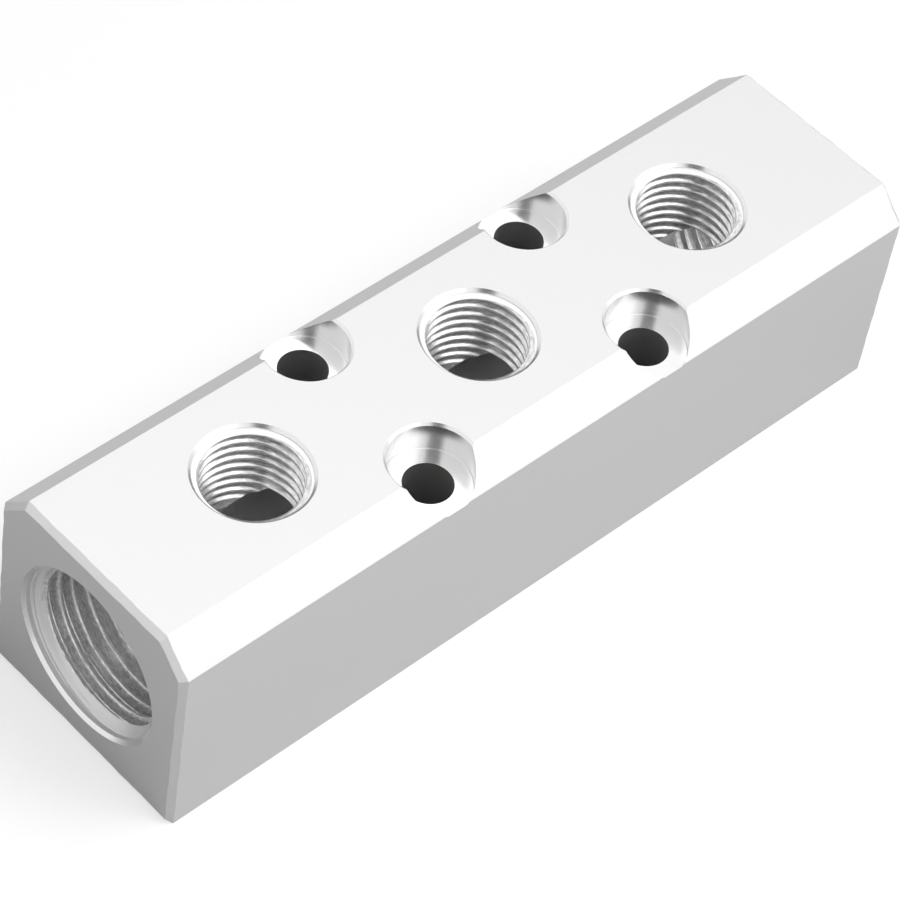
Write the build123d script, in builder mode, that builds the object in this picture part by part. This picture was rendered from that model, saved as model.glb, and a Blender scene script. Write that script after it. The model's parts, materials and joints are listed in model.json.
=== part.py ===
from build123d import *
from math import radians, tan
import os

# Air manifold block, one machined aluminium bar. Millimetres.
# X runs along the bar, Z points up out of the outlet ports, and the origin
# is the middle of the underside.

# Bar
bar_length = 110.0
bar_width = 30.0
bar_height = 29.0
long_edge_chamfer = 3.8
end_edge_break = 0.7

# Gallery, bored lengthwise at mid height
gallery_diameter = 11.5
gallery_height = bar_height / 2
drill_point_angle = 118.0

# Outlet ports, G 1/4, in a row along the top face
outlet_count = 3
outlet_pitch = 33.0
outlet_mouth_diameter = 13.9
outlet_recess_diameter = 13.2
outlet_recess_depth = 1.0
outlet_bore_diameter = 11.445
outlet_bore_depth = bar_height - gallery_height

# Inlet ports, G 1/2, one in each end face
inlet_mouth_diameter = 21.8
inlet_recess_diameter = 21.0
inlet_recess_depth = 0.95
inlet_bore_diameter = 18.631
inlet_bore_depth = 13.0

# Mounting holes for M5 cap screws, midway between the outlets on both sides of the row
screw_spacing_across = 20.5
screw_hole_diameter = 5.8
screw_head_diameter = 10.0
screw_head_depth = 4.0
screw_mouth_break = 0.3


def turned_cutter(*corners):
    """Solid of revolution about Z, from (radius, height) corners between two points on the axis."""
    with BuildPart() as cutter:
        with BuildSketch(Plane.XZ):
            with BuildLine():
                Polyline(*corners, close=True)
            make_face()
        revolve(axis=Axis.Z)
    return cutter.part


def port_cutter(mouth_diameter, recess_diameter, recess_depth, bore_diameter, bore_depth):
    """Cutter for a threaded port: broken mouth, plain recess, 45 degree lead, bore and drill point."""
    mouth = mouth_diameter / 2
    recess = recess_diameter / 2
    bore = bore_diameter / 2
    lead_end = recess_depth + recess - bore
    point = bore / tan(radians(drill_point_angle / 2))
    return turned_cutter(
        (0, 0),
        (mouth, 0),
        (recess, recess - mouth),
        (recess, -recess_depth),
        (bore, -lead_end),
        (bore, -bore_depth),
        (0, -bore_depth - point),
    )


def screw_cutter():
    """Cutter for a mounting hole: broken mouth, flat counterbore and clearance hole right through."""
    head = screw_head_diameter / 2
    hole = screw_hole_diameter / 2
    return turned_cutter(
        (0, 0),
        (head + screw_mouth_break, 0),
        (head, -screw_mouth_break),
        (head, -screw_head_depth),
        (hole, -screw_head_depth),
        (hole, -bar_height),
        (0, -bar_height),
    )


outlet_cutter = port_cutter(
    outlet_mouth_diameter,
    outlet_recess_diameter,
    outlet_recess_depth,
    outlet_bore_diameter,
    outlet_bore_depth,
)
inlet_cutter = port_cutter(
    inlet_mouth_diameter,
    inlet_recess_diameter,
    inlet_recess_depth,
    inlet_bore_diameter,
    inlet_bore_depth,
)
mounting_cutter = screw_cutter()

top_face = Plane.XY.offset(bar_height)
left_end = Plane(origin=(-bar_length / 2, 0, gallery_height), z_dir=(-1, 0, 0))
right_end = Plane(origin=(bar_length / 2, 0, gallery_height), z_dir=(1, 0, 0))

with BuildPart() as manifold_block:
    # Bar section with both top corners cut at 45 degrees
    with BuildSketch(Plane.YZ) as section:
        Rectangle(bar_width, bar_height, align=(Align.CENTER, Align.MIN))
        chamfer(section.vertices().group_by(Axis.Y)[-1], length=long_edge_chamfer)
    extrude(amount=bar_length / 2, both=True)

    # Broken edges round both sawn ends
    end_faces = manifold_block.faces().filter_by(Axis.X)
    chamfer(end_faces.edges(), length=end_edge_break)

    # Gallery from end to end
    with Locations(right_end):
        Hole(radius=gallery_diameter / 2)

    # Threaded inlets at the ends
    with Locations(left_end, right_end):
        add(inlet_cutter, mode=Mode.SUBTRACT)

    # Threaded outlets down into the gallery
    with Locations(top_face):
        with GridLocations(outlet_pitch, 0, outlet_count, 1):
            add(outlet_cutter, mode=Mode.SUBTRACT)

    # Counterbored mounting holes, two pairs, each midway between two outlets
    with Locations(top_face):
        with GridLocations(outlet_pitch, screw_spacing_across, outlet_count - 1, 2):
            add(mounting_cutter, mode=Mode.SUBTRACT)

manifold_block.part.label = "manifold_block"

os.makedirs("parts", exist_ok=True)
export_step(manifold_block.part, "parts/manifold_block.step")
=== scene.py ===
import json
from math import ceil, cos, pi, radians, sin, tan

import bmesh
import bpy
from mathutils import Matrix, Vector


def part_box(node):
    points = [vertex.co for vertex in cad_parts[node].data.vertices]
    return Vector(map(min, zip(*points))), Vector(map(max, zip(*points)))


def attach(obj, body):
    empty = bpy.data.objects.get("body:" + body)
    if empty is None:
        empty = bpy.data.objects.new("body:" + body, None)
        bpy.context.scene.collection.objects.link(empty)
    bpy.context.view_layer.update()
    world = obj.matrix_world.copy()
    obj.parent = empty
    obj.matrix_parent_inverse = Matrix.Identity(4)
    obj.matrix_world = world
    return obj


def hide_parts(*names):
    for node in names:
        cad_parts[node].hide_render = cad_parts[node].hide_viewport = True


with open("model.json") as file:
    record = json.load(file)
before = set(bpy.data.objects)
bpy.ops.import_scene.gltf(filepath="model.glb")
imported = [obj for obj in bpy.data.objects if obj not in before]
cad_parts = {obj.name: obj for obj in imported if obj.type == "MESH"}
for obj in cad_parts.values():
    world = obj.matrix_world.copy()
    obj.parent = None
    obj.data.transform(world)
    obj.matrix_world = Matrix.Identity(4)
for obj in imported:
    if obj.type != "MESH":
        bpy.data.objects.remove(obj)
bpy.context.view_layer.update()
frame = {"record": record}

# An air manifold block: one machined aluminium bar with real threads in its ports.
# Its mesh is worked out in millimetres and scaled to metres at the end.
MM = 0.001

# Sizes taken from the frame: the bar, and its ports and screw holes from the record's mounts
low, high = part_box("manifold_block")
bar_length, bar_width, bar_height = (high - low) / MM
mounts = {mount["name"]: mount for mount in frame["record"]["mounts"]}
outlets = [mount for name, mount in mounts.items() if name.startswith("outlet")]
inlets = [mount for name, mount in mounts.items() if name.startswith("inlet")]
screws = mounts["screw_holes"]["dims"]
gallery_height = inlets[0]["pos_m"][2] / MM

# Material slots of the mesh, one for each kind of machined surface, in the order of the materials below
(FACE, BROKEN, TURNED, RECESS, OUTLET_THREAD, INLET_MOUTH, INLET_RECESS, INLET_THREAD,
 GALLERY, HOLE) = range(10)

# Sizes as in the CAD source, in millimetres. Only the outlets' recess is shallower here and ends in a flat
# step, so that the first crest of their thread lies where the photograph shows it.
long_edge_chamfer = 3.8
end_edge_break = 0.7
gallery_radius = 5.75
drill_half_angle = radians(118 / 2)
screw_head_radius = 5.0
screw_head_depth = 4.0
screw_mouth_break = 0.3

# A port's thread starts at the bottom of its recess, turned round its axis by thread_start, and its groove
# gets shallower over the last part of it, which is runout long.
outlet_port = dict(
    mouth=6.95,
    recess=6.6,
    recess_depth=0.5,
    flat_floor=True,
    minor=outlets[0]["dims"]["r_mm"],
    pitch=25.4 / 19,
    bore_depth=bar_height - gallery_height,
    thread_end=12.6,
    runout=1.4,
    columns=96,
    thread_start=radians(249),
    mouth_region=TURNED,
    recess_region=RECESS,
    thread_region=OUTLET_THREAD,
)
inlet_port = dict(
    mouth=10.9,
    recess=10.5,
    recess_depth=0.95,
    flat_floor=False,
    minor=inlets[0]["dims"]["r_mm"],
    pitch=25.4 / 14,
    bore_depth=13.0,
    thread_end=13.0,
    runout=8.0,
    columns=128,
    thread_start=radians(198),
    mouth_region=INLET_MOUTH,
    recess_region=INLET_RECESS,
    thread_region=INLET_THREAD,
)

# Rounded 55 degree pipe thread, as shares of its pitch
thread_depth = 0.640327
thread_round = 0.137329
thread_half_angle = radians(27.5)

# Finer shape that the solids leave out: rounded long edges and counterbore floors, and end edges broken by
# hand, whose irregularity is made of waves given as (height, radians per millimetre)
long_edge_round = 0.15
floor_corner_round = 0.1
break_wobble = 0.08
wobble_waves = [(1, 0.9), (0.6, 2.3), (0.4, 5.1)]

# How finely the curves are divided, and the least angle in degrees that is shaded as an edge
wobble_step = 0.8
round_steps = 4
flank_steps = 5
screw_columns = 96
gallery_columns = 96
sharp_angle = 15

# The cutters reach this far past the bar. Thread vertices this near to the thread's ends join the rings
# there, and two rings of the same size are kept this far apart.
past_surface = 1.0
join_distance = 0.01
ring_gap = 0.001

camera_place = Vector((-0.22062, -0.18065, 0.33600))
camera_target = Vector((-0.00430, -0.00238, 0.01450))
camera_roll = radians(10.218)
camera_lens = 151.857

# Noise scales on the three axes: two kinds of grain drawn out round the outlets and round the inlets, and
# a drill's scores, which are fine along the bar
turned_round_outlet = (0.03, 0.03, 1)
turned_round_inlet = (1, 0.03, 0.03)
torn_round_outlet = (0.15, 0.15, 1)
torn_round_inlet = (1, 0.2, 0.2)
drilled_scores = (8, 1, 1)

# The floor and a near-black sheet between it and the block, which paints the shade under the block, in
# metres, but for the inset, the millimetres by which the sheet is smaller than the block
floor_size = 4
floor_height = -0.00005
shade_sheet_height = -0.00002
shade_sheet_inset = 2
# Colour of the sheet: painted shade under the block
painted_shade_level = 0.02

# The floor's share of real light, the rest being its own glow where it is seen
floor_share = 0.4

# How strongly the white surroundings light matt surfaces
surroundings_light = 0.15

# Round parts of the studio that the block mirrors darker or brighter than white, with angles in degrees
studio_areas = [
    # The camera
    dict(azimuth=-140.5, elevation=49, radius=13, blur=1, level=0.05),
    # A black arm that hangs over the camera
    dict(azimuth=-150, elevation=74, radius=8, blur=1.5, level=0.0),
    # A grey card high up at the back
    dict(azimuth=157, elevation=66.5, radius=9, blur=2, level=0.45),
    # The camera's stand
    dict(azimuth=-138, elevation=24, radius=13, blur=3, level=0.2),
    # A softbox beyond the block, mirrored in its top face
    dict(azimuth=65, elevation=62, radius=18, blur=10, level=2.1),
    # The grey far wall
    dict(azimuth=8, elevation=28, radius=26, blur=9, level=0.55),
    # The large softbox in front, mirrored in the front chamfer
    dict(azimuth=-50, elevation=45, radius=35, blur=5, level=1.65),
]

# The floor mirrored in the block is shaded close to it
shade_reach = 0.2
shade_level = 0.15

# The point on the block's axis that all lamps face
lamp_target = (0, 0, 0.02)


def grey(level):
    """A neutral colour."""
    return (level, level, level, 1)


def metal(name, level, metallic, roughness):
    """A new material with its shader's own values set, and the node tree to add detail to."""
    material = bpy.data.materials.new(name)
    material.use_nodes = True
    shader = material.node_tree.nodes["Principled BSDF"]
    shader.inputs["Base Color"].default_value = grey(level)
    shader.inputs["Metallic"].default_value = metallic
    shader.inputs["Roughness"].default_value = roughness
    return material, material.node_tree.nodes, material.node_tree.links, shader


def noise(nodes, links, scale, detail, stretch=(1, 1, 1)):
    """Noise in the block's own coordinates, with its grain size set by scale per metre."""
    place = nodes.new("ShaderNodeTexCoord")
    mapping = nodes.new("ShaderNodeMapping")
    mapping.inputs["Scale"].default_value = stretch
    texture = nodes.new("ShaderNodeTexNoise")
    texture.inputs["Scale"].default_value = scale
    texture.inputs["Detail"].default_value = detail
    links.new(place.outputs["Object"], mapping.inputs["Vector"])
    links.new(mapping.outputs["Vector"], texture.inputs["Vector"])
    return texture.outputs["Fac"]


def vary(nodes, links, factor, socket, low_value, high_value, source=(0, 1)):
    """Drives a shader socket between two values, as the factor runs through its source range."""
    span = nodes.new("ShaderNodeMapRange")
    span.inputs["From Min"].default_value = source[0]
    span.inputs["From Max"].default_value = source[1]
    span.inputs["To Min"].default_value = low_value
    span.inputs["To Max"].default_value = high_value
    links.new(factor, span.inputs["Value"])
    links.new(span.outputs["Result"], socket)


def bump(nodes, links, shader, height, strength, depth):
    """Gives the shader a fine relief."""
    relief = nodes.new("ShaderNodeBump")
    relief.inputs["Strength"].default_value = strength
    relief.inputs["Distance"].default_value = depth
    links.new(height, relief.inputs["Height"])
    links.new(relief.outputs["Normal"], shader.inputs["Normal"])


def face_material():
    """Fine matt silver of the bar's outside faces."""
    material, nodes, links, shader = metal("matt_face", level=0.75, metallic=0.35, roughness=0.45)
    mottling = noise(nodes, links, scale=900, detail=4)
    vary(nodes, links, mottling, shader.inputs["Roughness"], 0.40, 0.50)
    grain = noise(nodes, links, scale=9000, detail=2)
    bump(nodes, links, shader, grain, strength=0.1, depth=0.00002)
    return material


def broken_material():
    """Bright hand-broken edges round the ends."""
    material, nodes, links, shader = metal("broken_edge", level=0.74, metallic=0.5, roughness=0.35)
    strokes = noise(nodes, links, scale=1500, detail=3)
    bump(nodes, links, shader, strokes, strength=0.15, depth=0.00005)
    return material


def turned_material(name, metallic, roughness, stretch):
    """Turned surface of a counterbore, recess or mouth bevel, with the tool's fine grooves round it."""
    material, nodes, links, shader = metal(name, level=0.84, metallic=metallic, roughness=roughness)
    grooves = noise(nodes, links, scale=20000, detail=1, stretch=stretch)
    bump(nodes, links, shader, grooves, strength=0.4, depth=0.00001)
    return material


def thread_material(name, levels, metallic, roughness, stretch, grain):
    """Cut threads, with the tap's torn marks drawn out round them, where grain is how far these stand out."""
    material, nodes, links, shader = metal(name, level=0.85, metallic=metallic, roughness=roughness)
    torn = noise(nodes, links, scale=9000, detail=3, stretch=stretch)
    vary(nodes, links, torn, shader.inputs["Base Color"], *levels, source=(0.35, 0.65))
    bump(nodes, links, shader, torn, strength=grain, depth=0.00002)
    return material


def drilled_material(name, metallic):
    """Drilled wall of the gallery or of a screw hole."""
    material, nodes, links, shader = metal(name, level=0.8, metallic=metallic, roughness=0.35)
    scores = noise(nodes, links, scale=3000, detail=3, stretch=drilled_scores)
    bump(nodes, links, shader, scores, strength=0.3, depth=0.00004)
    return material


materials = [
    face_material(),
    broken_material(),
    turned_material("turned_bore", metallic=0.9, roughness=0.2, stretch=turned_round_outlet),
    turned_material("turned_recess", metallic=0.4, roughness=0.4, stretch=turned_round_outlet),
    thread_material(
        "outlet_thread",
        levels=(0.65, 0.95),
        metallic=0.8,
        roughness=0.16,
        stretch=torn_round_outlet,
        grain=0.25,
    ),
    turned_material("inlet_mouth", metallic=0.9, roughness=0.2, stretch=turned_round_inlet),
    turned_material("inlet_recess", metallic=0.4, roughness=0.35, stretch=turned_round_inlet),
    thread_material(
        "inlet_thread",
        levels=(0.6, 0.95),
        metallic=0.75,
        roughness=0.25,
        stretch=torn_round_inlet,
        grain=0.35,
    ),
    drilled_material("drilled_gallery", metallic=0.82),
    drilled_material("drilled_hole", metallic=0.98),
]


def mesh_object(name, vertices, faces, regions):
    """A closed mesh in millimetres, facing outwards, with each face's region as its material slot."""
    mesh = bpy.data.meshes.new(name)
    mesh.from_pydata(vertices, [], faces)
    mesh.polygons.foreach_set("material_index", regions)
    for material in materials:
        mesh.materials.append(material)
    shape = bmesh.new()
    shape.from_mesh(mesh)
    bmesh.ops.recalc_face_normals(shape, faces=shape.faces)
    shape.to_mesh(mesh)
    shape.free()
    piece = bpy.data.objects.new(name, mesh)
    bpy.context.scene.collection.objects.link(piece)
    return piece


class Turning:
    """Vertices and faces of a shape built up of rings about Z."""

    def __init__(self, columns):
        self.columns = columns
        self.vertices = []
        self.faces = []
        self.regions = []

    def vertex(self, column, radius, height):
        angle = 2 * pi * column / self.columns
        self.vertices.append((radius * cos(angle), radius * sin(angle), height))
        return len(self.vertices) - 1

    def ring(self, radius, height):
        return [self.vertex(column, radius, height) for column in range(self.columns)]

    def face(self, corners, region):
        distinct = list(dict.fromkeys(corners))
        if len(distinct) > 2:
            self.faces.append(distinct)
            self.regions.append(region)

    def band(self, upper, lower, region):
        for column in range(self.columns):
            beside = (column + 1) % self.columns
            self.face((upper[column], upper[beside], lower[beside], lower[column]), region)

    def cap(self, rim, height, region):
        centre = self.vertex(0, 0, height)
        for column in range(self.columns):
            self.face((rim[column], rim[(column + 1) % self.columns], centre), region)


def thread_rows(port):
    """Rows of one thread turn, as (share of the pitch, radius), from one groove to the next."""
    pitch, minor = port["pitch"], port["minor"]
    rounding = thread_round * pitch
    major = minor + thread_depth * pitch
    widest = pi / 2 - thread_half_angle
    root, crest = [], []
    for step in range(flank_steps + 1):
        angle = widest * (2 * step / flank_steps - 1)
        across, up = rounding * sin(angle), rounding * (1 - cos(angle))
        root.append((across, major - up))
        crest.append((pitch / 2 + across, minor + up))
    middle = (major + minor) / 2
    rows = root + [(pitch / 4, middle)] + crest + [(pitch * 3 / 4, middle)]
    return [(offset / pitch, radius) for offset, radius in rows]


def profile_radius(rows, share):
    """The radius of the thread's profile at a share of the pitch past the middle of the groove."""
    points = rows + [(rows[0][0] + 1, rows[0][1])]
    if share > points[-1][0]:
        share -= 1
    for (before, inner), (after, outer) in zip(points, points[1:]):
        if share <= after:
            return inner + (outer - inner) * (share - before) / (after - before)


def port_cutter(name, port):
    """Cutter for a port: mouth, recess, flat step or 45 degree lead, right-hand thread and drill point."""
    turning = Turning(port["columns"])
    pitch, recess = port["pitch"], port["recess"]
    bore = port["minor"]
    top, bottom = -port["recess_depth"], -port["thread_end"]
    rows = thread_rows(port)

    over = turning.ring(port["mouth"] + past_surface, past_surface)
    turning.cap(over, past_surface, port["mouth_region"])
    mouth_end = turning.ring(recess, recess - port["mouth"])
    turning.band(over, mouth_end, port["mouth_region"])
    recess_end = turning.ring(recess, top)
    turning.band(mouth_end, recess_end, port["recess_region"])
    thread_start = recess_end
    if port["flat_floor"]:
        radii = [profile_radius(rows, column / port["columns"]) for column in range(port["columns"])]
        thread_start = [turning.vertex(column, radius, top) for column, radius in enumerate(radii)]
        turning.band(recess_end, thread_start, port["recess_region"])
    thread_end = turning.ring(bore, bottom)
    lead_end = top if port["flat_floor"] else top - (recess - bore)
    made = {}

    def grid(column, row):
        """The vertex of a row that climbs one pitch for each turn."""
        if column == port["columns"]:
            return grid(0, row - len(rows))
        turn, step = divmod(row, len(rows))
        share, radius = rows[step]
        height = top + pitch * (column / port["columns"] - turn - share)
        if height > top - join_distance:
            return thread_start[column]
        if height < bottom + join_distance:
            return thread_end[column]
        if (column, row) not in made:
            taper = bore + thread_depth * pitch * (height - bottom) / port["runout"]
            radius = min(radius, taper)
            lead = 0 if port["flat_floor"] else recess - (top - height)
            made[column, row] = turning.vertex(column, max(lead, radius), height)
        return made[column, row]

    turns = ceil((top - bottom) / pitch) + 1
    for row in range(turns * len(rows)):
        for column in range(port["columns"]):
            corners = (
                grid(column, row),
                grid(column + 1, row),
                grid(column + 1, row + 1),
                grid(column, row + 1),
            )
            deepest = min(turning.vertices[corner][2] for corner in corners)
            turning.face(corners, port["recess_region" if deepest > lead_end else "thread_region"])

    drilled = turning.ring(bore, -port["bore_depth"] - ring_gap)
    turning.band(thread_end, drilled, GALLERY)
    turning.cap(drilled, -port["bore_depth"] - bore / tan(drill_half_angle), GALLERY)
    cutter = mesh_object(name, turning.vertices, turning.faces, turning.regions)
    cutter.data.transform(Matrix.Rotation(port["thread_start"], 4, "Z"))
    return cutter


def screw_cutter(name):
    """Cutter for a counterbored mounting hole right through the bar."""
    turning = Turning(screw_columns)
    head, hole = screw_head_radius, screws["hole_r_mm"]
    rim = turning.ring(head + screw_mouth_break + past_surface, past_surface)
    turning.cap(rim, past_surface, TURNED)
    corners = [(head, -screw_mouth_break)]
    for step in range(round_steps + 1):
        angle = pi / 2 * step / round_steps
        across = head - floor_corner_round * (1 - cos(angle))
        down = screw_head_depth - floor_corner_round * (1 - sin(angle))
        corners.append((across, -down))
    corners.append((hole, -screw_head_depth))
    for radius, height in corners:
        lower = turning.ring(radius, height)
        turning.band(rim, lower, TURNED)
        rim = lower
    under = turning.ring(hole, -bar_height - past_surface)
    turning.band(rim, under, HOLE)
    turning.cap(under, -bar_height - past_surface, HOLE)
    return mesh_object(name, turning.vertices, turning.faces, turning.regions)


def gallery_cutter(name):
    """Cutter for the gallery, past both ends."""
    turning = Turning(gallery_columns)
    reach = bar_length / 2 + past_surface
    upper, lower = turning.ring(gallery_radius, reach), turning.ring(gallery_radius, -reach)
    turning.cap(upper, reach, GALLERY)
    turning.band(upper, lower, GALLERY)
    turning.cap(lower, -reach, GALLERY)
    return mesh_object(name, turning.vertices, turning.faces, turning.regions)


def section_outline(inset):
    """Points (across, up) round the bar's section moved inwards by inset, with each corner rounded."""
    half, cut = bar_width / 2, long_edge_chamfer
    slant = inset * tan(pi / 8)
    corners = [
        (-half + inset, inset),
        (half - inset, inset),
        (half - inset, bar_height - cut - slant),
        (half - cut - slant, bar_height - inset),
        (-half + cut + slant, bar_height - inset),
        (-half + inset, bar_height - cut - slant),
    ]
    points = []
    for index, corner in enumerate(corners):
        before, after = corners[index - 1], corners[(index + 1) % len(corners)]
        here = Vector(corner)
        back, ahead = (Vector(before) - here).normalized(), (Vector(after) - here).normalized()
        half_corner = back.angle(ahead) / 2
        tangent = long_edge_round / tan(half_corner)
        centre = here + (back + ahead).normalized() * long_edge_round / sin(half_corner)
        start, end = here + back * tangent, here + ahead * tangent
        for step in range(round_steps + 1):
            point = start.lerp(end, step / round_steps) - centre
            points.append(centre + point.normalized() * long_edge_round)
    return points


def wobble(place, seed):
    """A small smooth irregularity along a hand-broken edge."""
    waves = [
        height * sin(place * speed + order * seed)
        for order, (height, speed) in enumerate(wobble_waves, 1)
    ]
    return break_wobble * sum(waves) / 2


def bar_mesh(name):
    """The bar with rounded long edges and a hand-broken edge round each end face."""
    outer, inner = section_outline(0), section_outline(end_edge_break)
    full, broken = [], []
    for index, (point, inset_point) in enumerate(zip(outer, inner)):
        beside = (index + 1) % len(outer)
        steps = max(1, round((outer[beside] - point).length / wobble_step))
        for step in range(steps):
            full.append(point.lerp(outer[beside], step / steps))
            broken.append(inset_point.lerp(inner[beside], step / steps))
    count = len(full)
    length = 0
    places = []
    for index, point in enumerate(full):
        places.append(length)
        length += (full[(index + 1) % count] - point).length
    # The waves' places are scaled a little, to whole turns of a wave of one radian per millimetre
    whole_turns = round(length / (2 * pi))
    vertices, faces, regions = [], [], []
    for end, seed in ((-1, 1.0), (1, 4.0)):
        face_ring, side_ring = [], []
        for index in range(count):
            place = whole_turns * (2 * pi * places[index] / length)
            spot = broken[index].lerp(full[index], wobble(place, seed) / end_edge_break)
            face_ring.append((end * bar_length / 2, spot.x, spot.y))
            depth = end_edge_break + wobble(place, seed + 2)
            side_ring.append((end * (bar_length / 2 - depth), full[index].x, full[index].y))
        vertices += face_ring + side_ring
    near_face, near_side, far_face, far_side = (range(count * ring, count * (ring + 1)) for ring in range(4))
    bands = [
        (near_face, near_side, BROKEN),
        (near_side, far_side, FACE),
        (far_side, far_face, BROKEN),
    ]
    for upper, lower, region in bands:
        for index in range(count):
            beside = (index + 1) % count
            faces.append((upper[index], upper[beside], lower[beside], lower[index]))
            regions.append(region)
    for rim in (near_face, far_face):
        faces.append(tuple(rim))
        regions.append(FACE)
    return mesh_object(name, vertices, faces, regions)


def apply_modifiers(piece):
    """Makes what the piece's modifiers give its own mesh."""
    bpy.context.view_layer.update()
    graph = bpy.context.evaluated_depsgraph_get()
    shape = bpy.data.meshes.new_from_object(piece.evaluated_get(graph))
    piece.modifiers.clear()
    piece.data = shape


def cut(piece, cutters):
    """Takes all the cutters out of the piece at once, and deletes them."""
    group = bpy.data.collections.new("cutters")
    for cutter in cutters:
        group.objects.link(cutter)
    modifier = piece.modifiers.new("ports", "BOOLEAN")
    modifier.operation = "DIFFERENCE"
    modifier.solver = "EXACT"
    modifier.operand_type = "COLLECTION"
    modifier.collection = group
    modifier.material_mode = "INDEX"
    apply_modifiers(piece)
    for cutter in cutters:
        bpy.data.objects.remove(cutter)
    bpy.data.collections.remove(group)


def manifold_block():
    """The whole block, with everything cut, in metres."""
    block = bar_mesh("block")
    cutters = []
    for number, mount in enumerate(outlets, 1):
        cutter = port_cutter(f"outlet_cutter_{number}", outlet_port)
        cutter.location = (mount["pos_m"][0] / MM, 0, bar_height)
        cutters.append(cutter)
    for number, mount in enumerate(inlets, 1):
        cutter = port_cutter(f"inlet_cutter_{number}", inlet_port)
        side = mount["axis"][0]
        cutter.rotation_euler = (0, side * pi / 2, 0)
        cutter.location = (side * bar_length / 2, 0, gallery_height)
        cutters.append(cutter)
    for along in (-1, 1):
        for across in (-1, 1):
            cutter = screw_cutter("screw_cutter")
            x = along * screws["spacing_x_mm"] / 2
            y = across * screws["spacing_y_mm"] / 2
            cutter.location = (x, y, bar_height)
            cutters.append(cutter)
    gallery = gallery_cutter("gallery_cutter")
    gallery.rotation_euler = (0, pi / 2, 0)
    gallery.location = (0, 0, gallery_height)
    cutters.append(gallery)
    cut(block, cutters)
    block.data.transform(Matrix.Scale(MM, 4))
    block.data.polygons.foreach_set("use_smooth", [True] * len(block.data.polygons))
    block.data.set_sharp_from_angle(angle=radians(sharp_angle))
    shading = block.modifiers.new("flat_faces", "WEIGHTED_NORMAL")
    shading.keep_sharp = True
    apply_modifiers(block)
    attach(block, "root")
    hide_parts("manifold_block")
    return block


def light_path_share(nodes, links, kinds):
    """A factor that is 1 for the named kinds of ray."""
    path = nodes.new("ShaderNodeLightPath")
    total = path.outputs[kinds[0]]
    for kind in kinds[1:]:
        total = combine(nodes, links, "MAXIMUM", total, path.outputs[kind])
    return total


def combine(nodes, links, operation, first, second):
    """One maths step on two values."""
    step = nodes.new("ShaderNodeMath")
    step.operation = operation
    links.new(first, step.inputs[0])
    links.new(second, step.inputs[1])
    return step.outputs[0]


def near_shade(nodes, links):
    """A factor that falls from 1 to shade_level within shade_reach of the block's footprint."""
    place = nodes.new("ShaderNodeTexCoord").outputs["Object"]
    for operation, value in (
        ("ABSOLUTE", None),
        ("SUBTRACT", (bar_length / 2 * MM, bar_width / 2 * MM, 0)),
        ("MAXIMUM", (0, 0, 0)),
        ("LENGTH", None),
    ):
        step = nodes.new("ShaderNodeVectorMath")
        step.operation = operation
        links.new(place, step.inputs[0])
        if value:
            step.inputs[1].default_value = value
        place = step.outputs["Value" if operation == "LENGTH" else "Vector"]
    span = nodes.new("ShaderNodeMapRange")
    span.inputs["From Max"].default_value = shade_reach
    span.inputs["To Min"].default_value = shade_level
    links.new(place, span.inputs["Value"])
    return span.outputs["Result"]


def floor_stage():
    """A plain pale floor that keeps a soft shadow, and a near-black sheet between it and the block that
    paints the shade under the block.
    """
    bpy.ops.mesh.primitive_plane_add(size=floor_size, location=(0, 0, floor_height))
    ground = bpy.context.object
    ground.name = "floor"
    material = bpy.data.materials.new("pale_floor")
    material.use_nodes = True
    nodes, links = material.node_tree.nodes, material.node_tree.links
    nodes.remove(nodes["Principled BSDF"])
    matt = nodes.new("ShaderNodeBsdfDiffuse")
    matt.inputs["Color"].default_value = grey(floor_share)
    glow = nodes.new("ShaderNodeEmission")
    glow.inputs["Color"].default_value = grey(1)
    open_view = light_path_share(nodes, links, ("Is Camera Ray", "Is Transmission Ray"))
    mirrored = light_path_share(nodes, links, ("Is Glossy Ray",))
    shaded = combine(nodes, links, "MULTIPLY", mirrored, near_shade(nodes, links))
    seen = combine(nodes, links, "MAXIMUM", open_view, shaded)
    vary(nodes, links, seen, glow.inputs["Strength"], 0, 1 - floor_share)
    both = nodes.new("ShaderNodeAddShader")
    links.new(matt.outputs[0], both.inputs[0])
    links.new(glow.outputs[0], both.inputs[1])
    links.new(both.outputs[0], nodes["Material Output"].inputs["Surface"])
    ground.data.materials.append(material)

    # A near-black sheet just under the block: painted shade where the floor would lie in the block's shadow
    bpy.ops.mesh.primitive_plane_add(size=1, location=(0, 0, shade_sheet_height))
    shade_sheet = bpy.context.object
    shade_sheet.name = "gap_under_block"
    shade_sheet.scale = ((bar_length - shade_sheet_inset) * MM, (bar_width - shade_sheet_inset) * MM, 1)
    dark = bpy.data.materials.new("dark_gap")
    dark.use_nodes = True
    dark.node_tree.nodes["Principled BSDF"].inputs["Base Color"].default_value = grey(painted_shade_level)
    shade_sheet.data.materials.append(dark)


def direction(azimuth, elevation):
    """Unit vector from the block towards a part of the studio, from angles in degrees."""
    azimuth, elevation = radians(azimuth), radians(elevation)
    return (cos(azimuth) * cos(elevation), sin(azimuth) * cos(elevation), sin(elevation))


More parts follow.
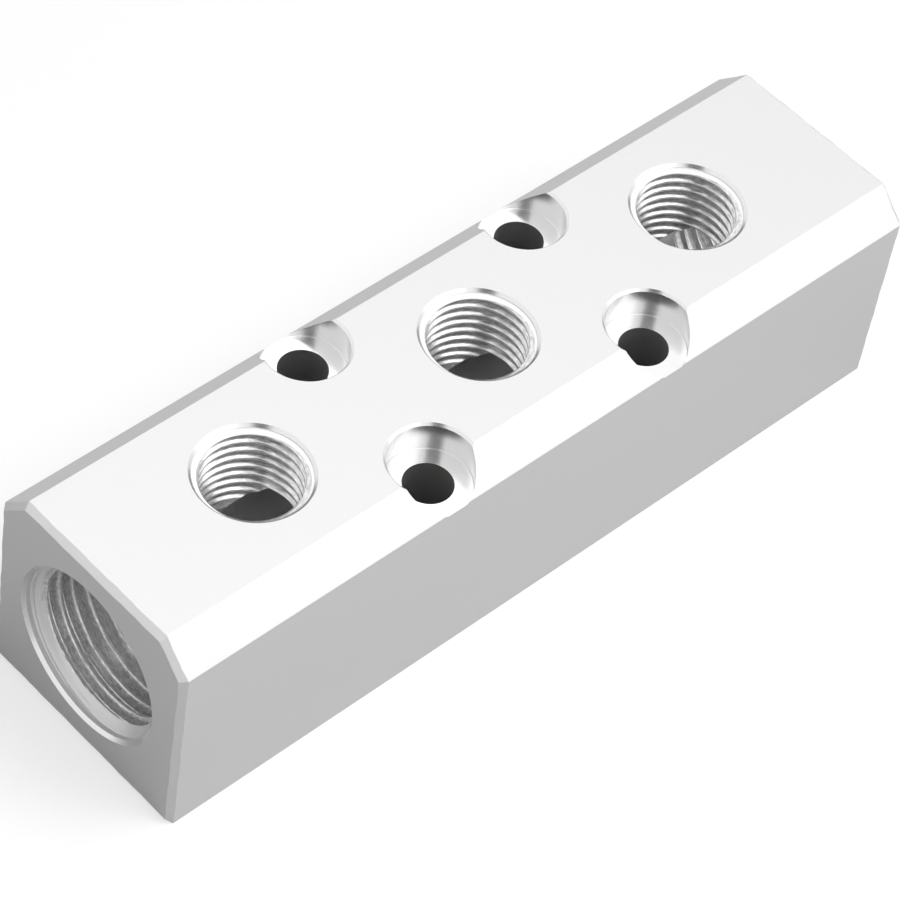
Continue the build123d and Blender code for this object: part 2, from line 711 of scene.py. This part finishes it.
def studio_world():
    """White surroundings, in which the block mirrors the darker parts of a studio."""
    world = bpy.data.worlds.new("studio")
    bpy.context.scene.world = world
    world.use_nodes = True
    nodes, links = world.node_tree.nodes, world.node_tree.links
    sky = nodes["Background"]
    sky.inputs["Color"].default_value = grey(1)
    place = nodes.new("ShaderNodeTexCoord")
    mirrored = light_path_share(nodes, links, ("Is Glossy Ray",))
    for area in studio_areas:
        towards = nodes.new("ShaderNodeVectorMath")
        towards.operation = "DOT_PRODUCT"
        towards.inputs[1].default_value = direction(area["azimuth"], area["elevation"])
        links.new(place.outputs["Generated"], towards.inputs[0])
        span = nodes.new("ShaderNodeMapRange")
        span.interpolation_type = "SMOOTHSTEP"
        span.inputs["From Min"].default_value = cos(radians(area["radius"] + area["blur"]))
        span.inputs["From Max"].default_value = cos(radians(area["radius"] - area["blur"]))
        span.inputs["To Min"].default_value = 1
        span.inputs["To Max"].default_value = area["level"]
        links.new(towards.outputs["Value"], span.inputs["Value"])
        mirrored = combine(nodes, links, "MULTIPLY", mirrored, span.outputs["Result"])
    seen = light_path_share(nodes, links, ("Is Camera Ray", "Is Transmission Ray"))
    soft = nodes.new("ShaderNodeMapRange")
    soft.inputs["To Max"].default_value = surroundings_light
    links.new(light_path_share(nodes, links, ("Is Diffuse Ray",)), soft.inputs["Value"])
    lit = combine(nodes, links, "MAXIMUM", mirrored, soft.outputs["Result"])
    links.new(combine(nodes, links, "MAXIMUM", lit, seen), sky.inputs["Strength"])


def softbox(name, place, size, power):
    """A square area lamp that faces the block and isn't mirrored in it."""
    data = bpy.data.lights.new(name, "AREA")
    data.size = size
    data.energy = power
    lamp = bpy.data.objects.new(name, data)
    lamp.location = place
    lamp.visible_glossy = False
    lamp.rotation_euler = (Vector(lamp_target) - Vector(place)).to_track_quat("-Z", "Y").to_euler()
    bpy.context.scene.collection.objects.link(lamp)


def camera():
    """The photograph's view, from above the near end."""
    data = bpy.data.cameras.new("camera")
    data.lens = camera_lens
    data.sensor_width = 36
    data.clip_start, data.clip_end = 0.01, 10
    viewer = bpy.data.objects.new("camera", data)
    viewer.location = camera_place
    aim = (camera_target - camera_place).to_track_quat("-Z", "Y").to_matrix().to_4x4()
    viewer.rotation_euler = (aim @ Matrix.Rotation(camera_roll, 4, "Z")).to_euler()
    bpy.context.scene.collection.objects.link(viewer)
    bpy.context.scene.camera = viewer


manifold_block()
floor_stage()
studio_world()
softbox("key_light", place=(0.20, -0.16, 0.60), size=0.4, power=2.45)
softbox("front_light", place=(0.13, -0.35, 0.55), size=0.4, power=1.47)
softbox("camera_light", place=(-0.27, -0.22, 0.46), size=0.3, power=1.05)
camera()
bpy.context.scene.view_settings.view_transform = "Standard"
